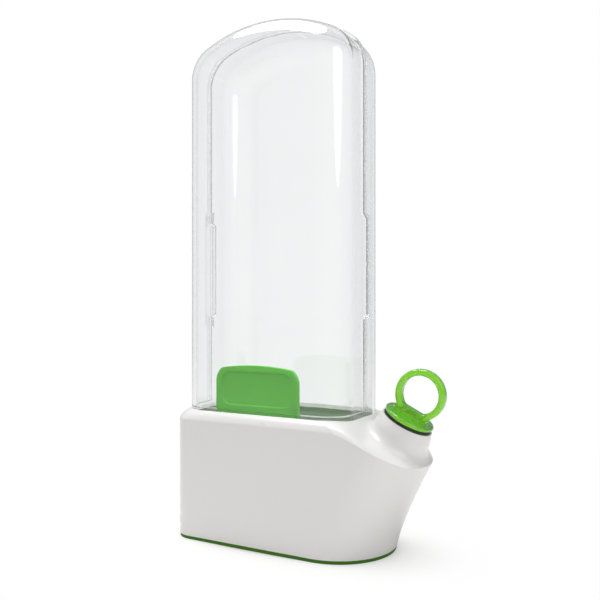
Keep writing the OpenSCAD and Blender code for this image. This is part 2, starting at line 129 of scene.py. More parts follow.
@titled
class KeeperBaseSettings(bpy.types.PropertyGroup):
    rim_side: length("Width of the rim at the left end", 3)
    rim_front: length("Width of the rim in front and behind", 5)
    rim_height: length("Height of the rim round the pod", 72.3)
    shoulder_height: length("Height of the shoulder over the crease", 5.3)
    corner_radius: length("Plan radius of the left corners", 12)
    wall: length("Wall thickness of the base", 2.4)
    foot: length("Height of the wall's lower edge", 2)
    nose_foot: length("Centre of the round nose at the table", 34.3)
    nose_reach: length("How far the nose has moved out at its full height", 18.8)
    nose_height: length("Height of the nose's full reach", 46)
    nose_curve: number("1 leans straight, more flares", 1.3)
    crease_flat: length("Where the crease starts to fall", 38)
    crease_radius: length("Radius at which the crease falls", 53)
    pod_fit: length("Clearance round the pod", 0.35)
    mouth_x: length("Distance of the spout's mouth from the middle", 75.4)
    mouth_z: length("Height of the spout's mouth", 70.4)
    mouth_radius: length("Outer radius of the mouth", 14)
    neck_taper: length("Taper of the neck", 1.3)
    neck_length: length("Length of the neck above its fillet", 5.3)
    neck_fillet: length("Radius of the neck's fillet", 11)
    neck_blend: length("Height over which deck and fillet run together", 4)
    tilt: angle("Lean of the spout", 27)
    edge_round: length("Radius of the moulded edges", 0.7)
    white: colour("Colour of the base", 0.83, 0.825, 0.815)
    foot_green: colour("Colour of the foot pad", 0.06, 0.21, 0.01)


@titled
class KeeperStopperSettings(bpy.types.PropertyGroup):
    cap_radius: length("Radius of the flange", 13.6)
    cap_thickness: length("Thickness of the flange", 2.8)
    seal_thickness: length("Thickness of the seal ring", 1.2)
    plug_radius: length("Radius of the hollow plug", 11.3)
    plug_length: length("Length of the plug", 9)
    plug_wall: length("Wall of the plug", 1.8)
    ring_radius: length("Outer radius of the pull ring", 13.5)
    ring_thickness: length("Radial thickness of the ring", 3.5)
    ring_width: length("Width of the ring", 5.6)
    ring_rise: length("Ring centre above the flange's underside", 14.9)
    ring_flat: length("Height of the hole's flat bottom", 6.4)
    green: colour("Colour of the translucent plastic", 0.36, 0.86, 0.035)
    # Painted shade: deeper green mixed in at grazing angles stands in for the light lost through thicker
    # plastic.
    deep_green: colour("Colour of the plastic where it is thick", 0.08, 0.56, 0.05)
    # Near black: the seal ring's own colour and painted shade of the gap under the stopper's flange.
    seal_black: colour("Colour of the seal ring", 0.012, 0.014, 0.01)


@titled
class KeeperBasketSettings(bpy.types.PropertyGroup):
    width: length("Width of the basket", 90)
    depth: length("Depth of the basket", 39.6)
    corner_radius: length("Corner radius of the basket", 12)
    low: length("Height of the basket's floor", 17)
    top: length("Height of the basket's wall", 60)
    wall: length("Wall thickness", 1.6)
    leg_low: length("Height of the legs' feet", 5)
    leg_radius: length("Radius of the legs", 3)
    slot_width: length("Width of the slots", 3.2)
    slot_pitch: length("Distance between the slots", 9)
    slot_count: IntProperty(description="Slots in each wall", default=7, min=1)
    tab_width: length("Width of the lift tab", 52.7)
    tab_top: length("Height of the tab's top", 97.7)
    tab_thickness: length("Thickness of the tab", 2.8)
    tab_offset: offset("Tab middle from the pod's middle", -5.2)
    tab_corner: length("Radius of the tab's upper corners", 9.5)
    tab_arch: length("Radius of the arch on top of the tab", 150)
    tab_border: length("Border round the sunk panel", 4)
    panel_height: length("Height of the sunk panel", 18.2)
    panel_depth: length("Depth of the sunk panel", 0.8)
    green: colour("Colour of the basket and its tab", 0.1, 0.56, 0.02)


@titled
class KeeperStageSettings(bpy.types.PropertyGroup):
    camera_x: length("Camera to the right of the pod's middle", 211.6)
    camera_y: offset("Camera in front of the pod", -365.6)
    camera_z: length("Camera height", 133.9)
    camera_turn: angle("Turn of the camera about Z", 28.7)
    lens: number("Focal length in millimetres", 44.34)
    key_power: number("Power of the overhead light in watts", 8.2)
    side_power: number("Power of the side light in watts", 2.1)
    sky: number("Strength of the even light from all round", 0.35)
    shadow_falloff: number("How fast the shadow turns white away from the foot", 5.0)
    foot_length: length("Half length of the foot, where the floor starts to turn white", 61)
    foot_width: length("Half width of the foot, where the floor starts to turn white", 33)
    floor_colour: colour("Colour of the floor", 0.9, 0.885, 0.87)


# ---- Mesh helpers ----


def linked(name, data):
    """A new object of the data in the scene, at the origin."""
    made = bpy.data.objects.new(name, data)
    bpy.context.scene.collection.objects.link(made)
    return made


@contextmanager
def edited(mesh):
    """The mesh opened as a bmesh, which is written back at the end."""
    work = bmesh.new()
    work.from_mesh(mesh)
    yield work
    work.to_mesh(mesh)
    work.free()


def new_object(name, points, faces):
    """A mesh object at the origin from points and faces, with doubles merged and faces outwards."""
    mesh = bpy.data.meshes.new(name)
    mesh.from_pydata([tuple(p) for p in points], [], faces)
    with edited(mesh) as work:
        bmesh.ops.remove_doubles(work, verts=work.verts, dist=MERGE_DISTANCE)
        bmesh.ops.dissolve_degenerate(work, edges=work.edges, dist=MERGE_DISTANCE)
        bmesh.ops.recalc_face_normals(work, faces=work.faces)
    return linked(name, mesh)


def applied(target):
    """The object with its modifiers turned into its mesh."""
    bpy.context.view_layer.update()
    evaluated = target.evaluated_get(bpy.context.evaluated_depsgraph_get())
    mesh = bpy.data.meshes.new_from_object(evaluated)
    mesh.name = target.name
    target.modifiers.clear()
    target.data = mesh
    return target


def modify(target, kind, **settings):
    """Add a modifier with its settings."""
    step = target.modifiers.new(kind.lower(), kind)
    for key, value in settings.items():
        setattr(step, key, value)
    return step


def combine(target, tool, operation="UNION"):
    """Boolean of target and tool. The tool is used up."""
    modify(target, "BOOLEAN", operation=operation, solver="EXACT", object=tool)
    applied(target)
    bpy.data.objects.remove(tool)
    return target


def bevel(target, width, sharp, segments=3):
    """Round the edges that are sharper than an angle."""
    modify(target, "BEVEL", width=width, segments=segments, limit_method="ANGLE", angle_limit=sharp,
           use_clamp_overlap=True)
    return applied(target)


def shade(target, sharp=SHARP):
    """Smooth shading that keeps edges sharper than the angle."""
    mesh = target.data
    mesh.polygons.foreach_set("use_smooth", [True] * len(mesh.polygons))
    with edited(mesh) as work:
        for edge in work.edges:
            edge.smooth = len(edge.link_faces) == 2 and edge.calc_face_angle(0.0) < sharp
    return target


def even_normals(target):
    """Turn normals towards the large faces, so that flat stretches look flat."""
    modify(target, "WEIGHTED_NORMAL", keep_sharp=True)
    return applied(target)


def paint(target, material):
    target.data.materials.clear()
    target.data.materials.append(material)
    return target


def steps(start, end, count):
    return [start + (end - start) * k / count for k in range(count + 1)]


def rounded_plan(width, depth, radius, corner_steps):
    """Closed plan of a rounded rectangle, counter-clockwise from the right side."""
    plan = []
    for quarter, (sx, sy) in enumerate([(1, 1), (-1, 1), (-1, -1), (1, -1)]):
        for angle in steps(pi / 2 * quarter, pi / 2 * (quarter + 1), corner_steps):
            plan.append((sx * (width / 2 - radius) + radius * cos(angle),
                         sy * (depth / 2 - radius) + radius * sin(angle)))
    return plan


def prism(name, outline, place, low, high):
    """Solid between two copies of a closed outline; place maps (u, v, height) to a point."""
    count = len(outline)
    points = [place(u, v, low) for u, v in outline] + [place(u, v, high) for u, v in outline]
    faces = [list(range(count)), list(range(2 * count - 1, count - 1, -1))]
    return new_object(name, points, faces + grid_faces(pairs(2), closed_pairs(count), count))


def upright(u, v, height):
    return (u, v, height)


def box(name, low, high):
    outline = [(low[0], low[1]), (high[0], low[1]), (high[0], high[1]), (low[0], high[1])]
    return prism(name, outline, upright, low[2], high[2])


def rod(name, centre, radius, low, high, sides=48):
    outline = [(centre[0] + radius * cos(2 * pi * k / sides),
                centre[1] + radius * sin(2 * pi * k / sides)) for k in range(sides)]
    return prism(name, outline, upright, low, high)


def grid_faces(rows, columns, count, start=0):
    """Quads between pairs of rows and pairs of columns of points, with count points to a row."""
    return [[start + r * count + a, start + r * count + b, start + s * count + b, start + s * count + a]
            for r, s in rows for a, b in columns]


def pairs(count):
    return [(k, k + 1) for k in range(count - 1)]


def closed_pairs(count):
    return [(k, (k + 1) % count) for k in range(count)]


def turned(name, profile, sides, place):
    """Solid of revolution about the local Z axis; profile is (radius, height), closed on the axis."""
    points = [place(r * cos(2 * pi * k / sides), r * sin(2 * pi * k / sides), z)
              for k in range(sides) for r, z in profile]
    return new_object(name, points, grid_faces(closed_pairs(sides), pairs(len(profile)), len(profile)))


def mix(a, b, share):
    return a + (b - a) * share


def soft_max(a, b, reach):
    """The larger of two heights, rounded over where they are close."""
    near = max(reach - abs(a - b), 0.0) / reach
    return max(a, b) + near * near * reach / 4


def sideways(u, v, height):
    return (height, u, v)


def bisect(low, high, function, rounds=40):
    """Where a rising function passes zero between low and high."""
    for _ in range(rounds):
        middle = (low + high) / 2
        low, high = (low, middle) if function(middle) > 0 else (middle, high)
    return (low + high) / 2


# ---- Pod ----

SHOULDER_STEPS = 20
CROWN_STEPS = 18
EDGE_STEPS = 12
SEAM_CRACK = 0.05 * MM
FACE_FLAT = 0.06
SHELL_LEVELS = 8
FLANGE_SOFT = 0.35 * MM
FLANGE_SOFT_STEPS = 3
LAST_LEVEL = 1 * MM
BOSS_LENGTH = 2 * MM
BORE_LENGTH = 0.5 * MM
WEB_INSET = 0.4 * MM
POD_SHARP = radians(28)


def arch_centres(pod):
    """Heights of the centres of shoulders and crown, and the turn of a shoulder's arc."""
    lean = asin((pod.width / 2 - pod.shoulder_radius) / (pod.crown_radius - pod.shoulder_radius))
    crown_z = pod.height - pod.flange_proud - pod.crown_radius
    return crown_z + (pod.crown_radius - pod.shoulder_radius) * cos(lean), crown_z, pi / 2 - lean


def arch(pod, inset, levels):
    """Outline (x, z) of the pod at an inset: up the right side, over the crown and down the left."""
    shoulder_z, crown_z, turn = arch_centres(pod)
    corner = pod.width / 2 - pod.shoulder_radius
    small = pod.shoulder_radius - inset
    large = pod.crown_radius - inset
    half = [(pod.width / 2 - inset, z) for z in levels]
    half += [(corner + small * cos(a), shoulder_z + small * sin(a)) for a in steps(0, turn, SHOULDER_STEPS)]
    half += [(large * cos(a), crown_z + large * sin(a)) for a in steps(turn, pi / 2, CROWN_STEPS)[1:]]
    return half + [(-x, z) for x, z in reversed(half[:-1])]


def skin(pod, thick):
    """Depth profile (inset, y) of one skin, from the front face round the side to the back face."""
    centre = pod.depth / 2 - pod.edge_radius
    radius = pod.edge_radius - thick
    front = [(pod.edge_radius + radius * FACE_FLAT, -centre - radius)]
    front += [(pod.edge_radius - radius * cos(a), -centre - radius * sin(a))
              for a in steps(pi / 2, 0, EDGE_STEPS)]
    return front + [(inset, -y) for inset, y in reversed(front)]


def pod_shell(pod):
    """The whole clear pod, both halves in one, open at the bottom."""
    levels = steps(pod.low, arch_centres(pod)[0], SHELL_LEVELS)[:-1]
    outer, inner = ([[(x, y, z) for x, z in arch(pod, inset, levels)] for inset, y in skin(pod, thick)]
                    for thick in (0, pod.wall))
    rows, count = len(outer), len(outer[0])
    points = [p for ring in outer + inner for p in ring]
    inside = rows * count
    faces = []
    for j in range(rows - 1):
        for i in range(count - 1):
            a = j * count + i
            faces.append([a, a + 1, a + count + 1, a + count])
            faces.append([inside + a, inside + a + count, inside + a + count + 1, inside + a + 1])
        for end in (0, count - 1):
            a = j * count + end
            faces.append([a, a + count, inside + a + count, inside + a])
    for j in (0, rows - 1):
        first, last = j * count, (j + 1) * count - 1
        faces.append(list(range(first, last + 1)))
        faces.append([inside + k for k in range(last, first - 1, -1)])
        faces.append([first, last, inside + last, inside + first])
    return new_object("pod_shell", points, faces)


def seam(pod, gap):
    """The seam seen from the side as (y, z): straight, with one step back for the tongues."""
    low, high = pod.tongue_low - gap, pod.tongue_low + pod.tongue_length + gap
    step = pod.tongue_step + gap
    return [(0, low - pod.tongue_ramp), (step, low), (step, high), (0, high + pod.tongue_ramp)]


def seam_cutter(name, pod, gap, crack, low):
    line = [(y + crack, z) for y, z in [(0, low), *seam(pod, gap), (0, pod.height + FAR)]]
    return prism(name, [(-FAR, low), *line, (-FAR, pod.height + FAR)], sideways, -FAR, FAR)


def flange_piece(name, pod, gap, front, back, first, last):
    """Part of one half of the seam flange, swept along the arch between two stations."""
    line = seam(pod, gap)
    shoulder_z = arch_centres(pod)[0]
    levels = [pod.door_low] + [z for _, z in line] + [shoulder_z - LAST_LEVEL]
    root = pod.wall / 2
    soft = FLANGE_SOFT
    section = [(root, front), (root, back)]
    for y, sign in ((back, -1), (front, 1)):
        for a in steps(0, pi / 2, FLANGE_SOFT_STEPS):
            turn = a if y == back else pi / 2 - a
            proud = -pod.flange_proud + soft - soft * sin(turn)
            section.append((proud, y + sign * (soft - soft * cos(turn))))
    rings = [arch(pod, inset, levels) for inset, _ in section]
    count = len(section)
    shift = [0] + [y for y, _ in line] + [0]
    total = len(rings[0])
    shifts = shift + [0] * (total - 2 * len(shift)) + shift[::-1]
    stations = range(total)[first:last]
    points = [(ring[i][0], y + shifts[i], ring[i][1])
              for i in stations for ring, (_, y) in zip(rings, section)]
    faces = grid_faces(pairs(len(stations)), closed_pairs(count), count)
    faces += [list(range(count)), list(range(len(points) - count, len(points)))]
    return new_object(name, points, faces)


def add_flange(target, pod, gap, front, back):
    """The flange runs from the foot of the right side over the crown to the hinge, and below it."""
    combine(target, flange_piece("flange_high", pod, gap, front, back, None, -4))
    return combine(target, flange_piece("flange_low", pod, gap, front, back, -2, None))


def hinge_place(pod):
    return -pod.width / 2 - pod.hinge_out, pod.hinge_back


def make_door(pod):
    door = combine(pod_shell(pod), seam_cutter("door_cut", pod, 0, -SEAM_CRACK, pod.door_low), "INTERSECT")
    add_flange(door, pod, 0, -pod.flange_thickness, -SEAM_CRACK)
    x, y = hinge_place(pod)
    high = pod.tongue_low + pod.tongue_length
    reach = pod.pin_length + pod.tongue_gap
    web = pod.pin_radius
    combine(door, box("web", (x, y - web, pod.tongue_low), (-pod.width / 2 + pod.wall / 2, y + web, high)))
    combine(door, rod("knuckle", (x, y), pod.knuckle_radius, pod.tongue_low, high))
    combine(door, rod("pins", (x, y), pod.pin_radius, pod.tongue_low - reach, high + reach))
    door.name = "pod_front"
    return door


def make_body(pod):
    cutter = seam_cutter("body_cut", pod, pod.tongue_gap, SEAM_CRACK, pod.door_low - pod.door_gap)
    body = combine(pod_shell(pod), cutter, "DIFFERENCE")
    add_flange(body, pod, pod.tongue_gap, SEAM_CRACK, pod.flange_thickness)
    x, y = hinge_place(pod)
    boss = pod.pin_length + BOSS_LENGTH
    web_y = pod.knuckle_radius - WEB_INSET
    short = pod.tongue_ramp + pod.tongue_gap
    high = pod.tongue_low + pod.tongue_length + pod.tongue_gap
    low = pod.tongue_low - pod.tongue_gap
    for number, (bottom, top, web_bottom, web_top) in enumerate(
            [(low - boss, low, low - boss, low - short), (high, high + boss, high + short, high + boss)]):
        side = -pod.width / 2 + pod.wall / 2
        combine(body, box(f"web_{number}", (x, y - web_y, web_bottom), (side, y + web_y, web_top)))
        combine(body, rod(f"boss_{number}", (x, y), pod.knuckle_radius, bottom, top))
    bore = pod.pin_length + BORE_LENGTH
    radius = pod.pin_radius + pod.pin_clearance
    combine(body, rod("bore_low", (x, y), radius, low - bore, low + BORE_LENGTH), "DIFFERENCE")
    combine(body, rod("bore_high", (x, y), radius, high - BORE_LENGTH, high + bore), "DIFFERENCE")
    body.name = "pod_back"
    return body


# ---- Base ----

CORNER_STEPS = 14
LEFT_STEPS = 12
WALL_STEPS = 22
NOSE_STEPS = 56
CREASE_ROUNDS = 12
SIDE_ROWS = 18
DECK_ROWS = 14
SPLIT_X = 61 * MM  # right of this the deck is made of rings round the spout
NECK_STRAIGHT = 4
NECK_ARC = 12
NECK_OUT = 12
DECK_INSET = 1.5 * MM
SHOULDER_START = radians(30)
DOME_START = 46 * MM  # the deck's rounded shoulder straightens from here to the end
DOME_END = 80 * MM
WALL_START = 6 * MM
ROW_BIAS = 1.25  # above 1 the wall's rows lie closer near the crease
EDGE_SHARP = radians(24)
BASE_SHARP = radians(32)
FOOT_INSET = 0.4 * MM
FOOT_CRACK = 0.02 * MM
FOOT_ROUND = 0.35 * MM
TIP_SEARCH = 12 * MM
TIP_BLEND = 2 * MM
FILLET_TURN = radians(75)
FILLET_SHARE = 0.8
LIP_DROP = 0.7 * MM
LIP_STEP = 0.02 * MM
LIP_WIDTH = 0.5 * MM


def nose_x(base, z):
    return base.nose_foot + base.nose_reach * (max(z, 0) / base.nose_height) ** base.nose_curve


def crease_height(base, x):
    fall = max(0, x - base.crease_flat) ** 2 / (2 * base.crease_radius)
    return base.rim_height - base.shoulder_height - fall


def half_plan(base, pod, z):
    """Front half of the base's plan at a height, from the middle of the left end to the nose's tip."""
    radius = base.corner_radius
    left = pod.width / 2 + base.rim_side
    half = pod.depth / 2 + base.rim_front
    start = base.nose_foot - WALL_START
    middle = nose_x(base, z)
    plan = [(-left, 0), (-left, -(half - radius) / 2)]
    plan += [(-left + radius + radius * cos(a), -half + radius + radius * sin(a))
             for a in steps(pi, pi * 1.5, CORNER_STEPS)]
    plan += [(x, -half) for x in steps(-left + radius, start, LEFT_STEPS)[1:]]
    plan += [(x, -half) for x in steps(start, middle, WALL_STEPS)[1:-1]]
    plan += [(middle + half * cos(a), half * sin(a)) for a in steps(-pi / 2, 0, NOSE_STEPS)]
    return plan


def to_spout(base, point):
    dx, dz = point[0] - base.mouth_x, point[2] - base.mouth_z
    c, s = cos(base.tilt), sin(base.tilt)
    return Vector((dx * c - dz * s, point[1], dx * s + dz * c))


def from_spout(base, point):
    c, s = cos(base.tilt), sin(base.tilt)
    dx, dz = point[0] * c + point[2] * s, point[2] * c - point[0] * s
    return Vector((base.mouth_x + dx, point[1], base.mouth_z + dz))


def neck_height(base, radius):
    """Height of the neck's outside over the spout's own plan, with the lip at 0."""
    neck_r = base.mouth_radius + base.neck_taper
    if radius <= neck_r:
        return -base.neck_length * max(radius - base.mouth_radius, 0) / base.neck_taper
    across = max(neck_r + base.neck_fillet - radius, 0)
    return -base.neck_length - sqrt(base.neck_fillet ** 2 - min(across, base.neck_fillet) ** 2)


def wall_tops(base, pod):
    """Height of each column of the wall: the crease, raised at the nose's tip to meet the neck's fillet."""
    tops = []
    for i in range(len(half_plan(base, pod, 0))):
        z = base.nose_height
        for _ in range(CREASE_ROUNDS):
            z = crease_height(base, half_plan(base, pod, z)[i][0])

        def over_neck(height):
            local = to_spout(base, (*half_plan(base, pod, height)[i], height))
            return local.z - neck_height(base, local.xy.length)

        if half_plan(base, pod, z)[i][0] > DOME_START:
            met = bisect(z - TIP_SEARCH, z + TIP_SEARCH, over_neck)
            z = soft_max(z, met, TIP_BLEND)
        tops.append(z)
    return tops


def ray_to_rim(point, width, depth, radius):
    """Where a ray from the pod's middle through a point leaves a rounded rectangle."""
    flat = Vector((abs(point[0]), abs(point[1]))).normalized()
    reach = min(width / 2 / max(flat.x, TINY), depth / 2 / max(flat.y, TINY))
    corner = Vector((width / 2 - radius, depth / 2 - radius))
    hit = flat * reach
    if hit.x > corner.x and hit.y > corner.y:
        along = flat.dot(corner)
        hit = flat * (along + sqrt(max(0, along ** 2 - corner.length_squared + radius ** 2)))
    return copysign(hit.x, point[0]), copysign(hit.y, point[1])


def deck_column(base, pod, top, count):
    """Points of the deck from the crease in to the pod's hole, and the full path past the hole."""
    width, depth, radius = pod.width, pod.depth, pod.edge_radius
    inner = ray_to_rim(top, width - 2 * DECK_INSET, depth - 2 * DECK_INSET, radius - DECK_INSET)
    fit = base.pod_fit
    hole = ray_to_rim(top, width + 2 * fit, depth + 2 * fit, radius + fit)
    whole = hypot(inner[0] - top[0], inner[1] - top[1])
    stop = hypot(hole[0] - top[0], hole[1] - top[1]) / whole
    share = min(max((top[0] - DOME_START) / (DOME_END - DOME_START), 0), 1)
    straight = share * share * (3 - 2 * share)

    def across(u):
        angle = mix(SHOULDER_START, pi / 2, u)
        run = (cos(SHOULDER_START) - cos(angle)) / cos(SHOULDER_START)
        rise = (sin(angle) - sin(SHOULDER_START)) / (1 - sin(SHOULDER_START))
        return mix(run, u, straight), mix(rise, u, straight)

    def place(u):
        s, h = across(u)
        return (mix(top[0], inner[0], s), mix(top[1], inner[1], s), mix(top[2], base.rim_height, h))

    edge = bisect(0, 1, lambda u: across(u)[0] - stop)
    return [place(u) for u in steps(0, edge, count)], [place(u) for u in steps(0, 1, count)]


def mirrored(half):
    return half + [(x, -y, z) for x, y, z in reversed(half[1:-1])]


def polar_deck(base, pod, loop, deck):
    """Rings from the spout's mouth out to a boundary loop: neck, fillet and deck run into each other."""
    edge = [to_spout(base, p) for p in loop]
    neck_r = base.mouth_radius + base.neck_taper
    foot_r = neck_r + base.neck_fillet
    rings = []
    straight = [base.mouth_radius, *steps(base.mouth_radius + LIP_STEP, neck_r, NECK_STRAIGHT)]
    for spot in edge:
        radius = spot.xy.length
        arc_end = min(foot_r - base.neck_fillet * cos(FILLET_TURN), mix(neck_r, radius, FILLET_SHARE))
        arc_turn = acos((foot_r - arc_end) / base.neck_fillet)
        radii = straight + [foot_r - base.neck_fillet * cos(a) for a in steps(0, arc_turn, NECK_ARC)[1:]]
        radii += steps(arc_end, radius, NECK_OUT)[1:-1]
        ray = []
        for number, r in enumerate(radii):
            flat = spot.xy.normalized() * r
            height = neck_height(base, r) if number != 1 else -LIP_DROP
            if r > base.mouth_radius + LIP_WIDTH:
                hit = deck.ray_cast(Vector((flat.x, flat.y, FAR)), Vector((0, 0, -1)))[0]
                if hit is None:
                    hit = deck.find_nearest(Vector((flat.x, flat.y, spot.z)))[0]
                height = soft_max(height, hit.z, base.neck_blend)
            ray.append(tuple(from_spout(base, (flat.x, flat.y, height))))
        rings.append(ray)
    return [[ray[k] for ray in rings] for k in range(len(rings[0]))]


def make_base(base, pod):
    tops = wall_tops(base, pod)
    half_count = len(tops)
    rows = []
    for r in range(SIDE_ROWS + 1):
        share = 1 - (1 - r / SIDE_ROWS) ** ROW_BIAS
        heights = [mix(base.foot, top, share) for top in tops]
        rows.append(mirrored([(*half_plan(base, pod, z)[i], z) for i, z in enumerate(heights)]))
    columns = [deck_column(base, pod, rows[-1][i], DECK_ROWS) for i in range(half_count)]
    shown = [mirrored([column[0][k] for column in columns]) for k in range(DECK_ROWS + 1)]
    full = [mirrored([column[1][k] for column in columns]) for k in range(DECK_ROWS + 1)]
    count = len(rows[0])
    ring = closed_pairs(count)
    local = [to_spout(base, p) for row in full for p in row]
    deck = BVHTree.FromPolygons([tuple(p) for p in local], grid_faces(pairs(DECK_ROWS + 1), ring, count))

    split = next(i for i, p in enumerate(rows[-1]) if p[0] > SPLIT_X)
    other = count - split
    loop = [rows[-1][i] for i in range(split, other + 1)] + [shown[k][other] for k in range(1, DECK_ROWS)]
    loop += [shown[-1][i] for i in range(other, split - 1, -1)]
    loop += [shown[k][split] for k in range(DECK_ROWS - 1, 0, -1)]
    rings = polar_deck(base, pod, loop, deck) + [loop]

    points = [p for row in rows for p in row]
    faces = grid_faces(pairs(SIDE_ROWS + 1), ring, count)
    left = [(i, j) for i, j in ring if i >= other or i < split]
    faces += grid_faces(pairs(DECK_ROWS + 1), left, count, len(points))
    points += [p for row in shown for p in row]
    faces += grid_faces(pairs(len(rings)), closed_pairs(len(loop)), len(loop), len(points))
    points += [p for row in rings for p in row]
    housing = new_object("water_base", points, faces)
    with edited(housing.data) as work:
        bmesh.ops.delete(work, geom=[v for v in work.verts if not v.link_faces], context="VERTS")
    modify(housing, "SOLIDIFY", thickness=base.wall, offset=-1, use_even_offset=True)
    applied(housing)
    bevel(housing, base.edge_round, EDGE_SHARP)
    return shade(housing, BASE_SHARP)


def make_foot(base, pod):
    """Foot pad that shows as a thin strip under the wall."""
    plan = [(x, y) for x, y, _ in mirrored([(x, y, 0) for x, y in half_plan(base, pod, base.foot)])]
    foot = prism("foot_strip", inset_plan(plan, FOOT_INSET), upright, 0, base.foot - FOOT_CRACK)
    bevel(foot, FOOT_ROUND, CORNER_SHARP, segments=2)
    return shade(foot)


def inset_plan(plan, distance):
    """Closed counter-clockwise plan moved inwards."""
    moved = []
    for k, (x, y) in enumerate(plan):
        before, after = Vector(plan[k - 1]), Vector(plan[(k + 1) % len(plan)])
        along = (after - before).normalized()
        moved.append((x - along.y * distance, y + along.x * distance))
    return moved


# ---- Stopper ----

VOXEL = 0.36 * MM
FILLET = 1.5 * MM
PLUG_CHAMFER = 0.8 * MM
PLUG_HOLLOW = 0.3 * MM
CAP_SIDES = 96
RING_SIDES = 128
RING_FLAT = 0.4 * MM
WEB_SET_BACK = 0.5 * MM
WEB_SHARE = 0.75
CAP_ROUND_STEPS = 12
RING_CORNER_STEPS = 6
FILLET_STEPS = 10
STOPPER_SHARP = radians(80)


def joined(name, parts):
    """One object that holds the meshes of several, which are used up."""
    mesh = bpy.data.meshes.new(name)
    with edited(mesh) as work:
        for part in parts:
            work.from_mesh(part.data)
            bpy.data.objects.remove(part)
    return linked(name, mesh)


def make_stopper(stopper, base):
    def place(x, y, z):
        return tuple(from_spout(base, (x, y, z + stopper.seal_thickness)))

    def across(u, v, height):
        return place(u, height, v)

    top = stopper.cap_thickness
    round_r = top / 2
    plug, inner = stopper.plug_radius, stopper.plug_radius - stopper.plug_wall
    profile = [(0, top)]
    profile += [(stopper.cap_radius - round_r + round_r * sin(a), round_r + round_r * cos(a))
                for a in steps(0, pi, CAP_ROUND_STEPS)]
    bottom = -stopper.plug_length
    profile += [(plug, 0), (plug, bottom + PLUG_CHAMFER), (plug - PLUG_CHAMFER, bottom)]
    profile += [(inner, bottom), (inner, PLUG_HOLLOW), (0, PLUG_HOLLOW)]
    body = turned("cap", profile, CAP_SIDES, place)

    half_t, half_w = stopper.ring_thickness / 2, stopper.ring_width / 2
    soft = half_t - RING_FLAT
    section = [(sx * (half_t - soft) + soft * cos(a), sy * (half_w - soft) + soft * sin(a))
               for (sx, sy), start in (((1, 1), 0), ((-1, 1), 1), ((-1, -1), 2), ((1, -1), 3))
               for a in steps(pi / 2 * start, pi / 2 * (start + 1), RING_CORNER_STEPS)]
    middle = stopper.ring_radius - half_t
    points = [place((middle + r) * cos(t), w, stopper.ring_rise + (middle + r) * sin(t))
              for t in steps(0, 2 * pi, RING_SIDES)[:-1] for r, w in section]
    faces = grid_faces(closed_pairs(RING_SIDES), closed_pairs(len(section)), len(section))
    ring = new_object("ring", points, faces)

    reach = stopper.ring_radius + FILLET
    drop = stopper.ring_rise - top - FILLET
    spread = sqrt(reach ** 2 - drop ** 2)
    turn = atan2(drop, -spread)
    right = [(spread + FILLET * cos(a), top + FILLET + FILLET * sin(a))
             for a in steps(-pi / 2, turn - 2 * pi, FILLET_STEPS)]
    outline = [(spread, top / 2), *right, (middle * WEB_SHARE, stopper.ring_flat)]
    outline += [(-x, z) for x, z in reversed(outline)]
    thin = half_w - WEB_SET_BACK
    web = prism("web", outline, across, -thin, thin)
    made = joined("pull_stopper", [body, ring, web])
    modify(made, "REMESH", mode="VOXEL", voxel_size=VOXEL)
    modify(made, "SMOOTH", iterations=8, factor=0.5)
    applied(made)
    return shade(made, STOPPER_SHARP)


# ---- Nodes ----


def add_node(tree, kind, inputs=(), **settings):
    """A shader or geometry node with its settings, and its inputs set or linked."""
    made = tree.nodes.new(kind)
    for key, value in settings.items():
        setattr(made, key, value)
    for key, value in dict(inputs).items():
        if isinstance(value, bpy.types.NodeSocket):
            tree.links.new(value, made.inputs[key])
        else:
            made.inputs[key].default_value = value
    return made


def maths(tree, operation, a, b, **settings):
    return add_node(tree, "ShaderNodeMath", {0: a, 1: b}, operation=operation, **settings).outputs[0]


def ranged(tree, value, start, end, low=0.0, high=1.0, **settings):
    """A value mapped from low and high to start and end."""
    inputs = {"Value": value, "From Min": low, "From Max": high, "To Min": start, "To Max": end}
    return add_node(tree, "ShaderNodeMapRange", inputs, **settings).outputs[0]


def blended(tree, share, first, second):
    """A colour between two."""
    return add_node(tree, "ShaderNodeMix", {0: share, 6: first, 7: second}, data_type="RGBA").outputs[2]


# ---- Basket ----

WALL_SLOT_SHARE = 0.62
FLOOR_SLOT_SHARE = 0.34
FLOOR_ROW_SHARE = 1 / 4.4
SLOT_ROUND = 0.49
TAB_ROOT = 4 * MM
TAB_ROUND = 0.45 * MM
PANEL_CUT = 1 * MM
BASKET_SHARP = radians(38)
BASKET_CORNER_STEPS = 14
SLOT_CORNER_STEPS = 7
TAB_CORNER_STEPS = 18
TAB_ARCH_STEPS = 10
PANEL_CORNER_STEPS = 10


